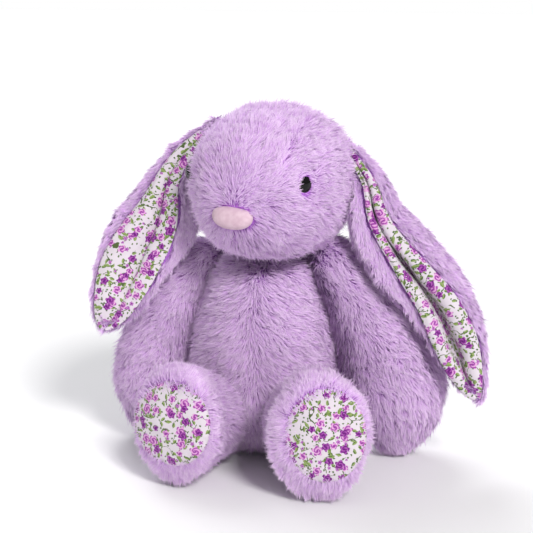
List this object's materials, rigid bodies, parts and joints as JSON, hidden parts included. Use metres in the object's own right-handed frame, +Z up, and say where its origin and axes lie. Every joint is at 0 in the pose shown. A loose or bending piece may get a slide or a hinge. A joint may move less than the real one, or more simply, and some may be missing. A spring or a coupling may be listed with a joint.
{
  "type": "stuffed bunny rabbit",
  "caption": "Seated plush rabbit with long lop ears lined in printed cotton, printed sole pads, safety eyes, and hinged head, ears, arms and legs.",
  "frame": {"origin": "middle of the flat seat panel's underside, on the floor", "axes": "+Z up, the rabbit faces -Y, +X is the rabbit's own left"},
  "size_m": [0.2619, 0.1881, 0.2272],
  "materials": {
    "plush_lilac": "long soft combed pile on a knitted backing, lilac",
    "printed_cotton": "plain-weave cotton with a small rose and leaf print",
    "nose_pink": "very short nap, pale dusty pink",
    "eye_black": "moulded, polished black",
    "fibre_fill": "loose white fibre",
    "pouch_cloth": "plain undyed cloth",
    "washer_white": "moulded, matt"
  },
  "bodies": {
    "torso": {"torso_front_left": "plush_lilac", "torso_front_right": "plush_lilac", "torso_back_left": "plush_lilac", "torso_back_right": "plush_lilac", "torso_stuffing": "fibre_fill", "bean_pouch": "pouch_cloth", "seat_panel": "plush_lilac", "tail_cover": "plush_lilac", "tail_stuffing": "fibre_fill"},
    "head": {"head_gusset": "plush_lilac", "head_side_left": "plush_lilac", "head_side_right": "plush_lilac", "head_stuffing": "fibre_fill", "eye_left": "eye_black", "eye_right": "eye_black", "eye_washer_left": "washer_white", "eye_washer_right": "washer_white", "nose": "nose_pink", "nose_padding": "fibre_fill"},
    "arm_left": {"arm_left_front": "plush_lilac", "arm_left_back": "plush_lilac", "arm_left_stuffing": "fibre_fill"},
    "leg_left": {"leg_left_upper": "plush_lilac", "leg_left_lower": "plush_lilac", "leg_left_sole": "printed_cotton", "leg_left_stuffing": "fibre_fill"},
    "ear_left": {"ear_left_back": "plush_lilac", "ear_left_lining": "printed_cotton"},
    "arm_right": {"arm_right_front": "plush_lilac", "arm_right_back": "plush_lilac", "arm_right_stuffing": "fibre_fill"},
    "leg_right": {"leg_right_upper": "plush_lilac", "leg_right_lower": "plush_lilac", "leg_right_sole": "printed_cotton", "leg_right_stuffing": "fibre_fill"},
    "ear_right": {"ear_right_back": "plush_lilac", "ear_right_lining": "printed_cotton"}
  },
  "joints": [
    {"name": "head_turn", "type": "hinge", "parent": "torso", "child": "head", "pos_m": [0, 0, 0.12], "axis": [0, 0, 1], "range_deg": [-4, 16], "stiffness_Nm_per_rad": 0.05},
    {"name": "ear_left_lift", "type": "hinge", "parent": "head", "child": "ear_left", "pos_m": [0.052, 0.001, 0.201], "axis": [0, -1, 0], "range_deg": [0, 100]},
    {"name": "ear_right_lift", "type": "hinge", "parent": "head", "child": "ear_right", "pos_m": [-0.041, 0.005, 0.206], "axis": [0, 1, 0], "range_deg": [0, 100]},
    {"name": "arm_left_swing", "type": "hinge", "parent": "torso", "child": "arm_left", "pos_m": [0.042, 0.004, 0.122], "axis": [0.88, 0, 0.475], "range_deg": [-5, 70]},
    {"name": "arm_right_swing", "type": "hinge", "parent": "torso", "child": "arm_right", "pos_m": [-0.04, 0.004, 0.122], "axis": [0.9099, 0, -0.4149], "range_deg": [-5, 70]},
    {"name": "leg_left_swing", "type": "hinge", "parent": "torso", "child": "leg_left", "pos_m": [0.028, -0.028, 0.03], "axis": [1, 0, 0], "range_deg": [-25, 0]},
    {"name": "leg_right_swing", "type": "hinge", "parent": "torso", "child": "leg_right", "pos_m": [-0.026, -0.028, 0.03], "axis": [1, 0, 0], "range_deg": [-25, 0]}
  ]
}
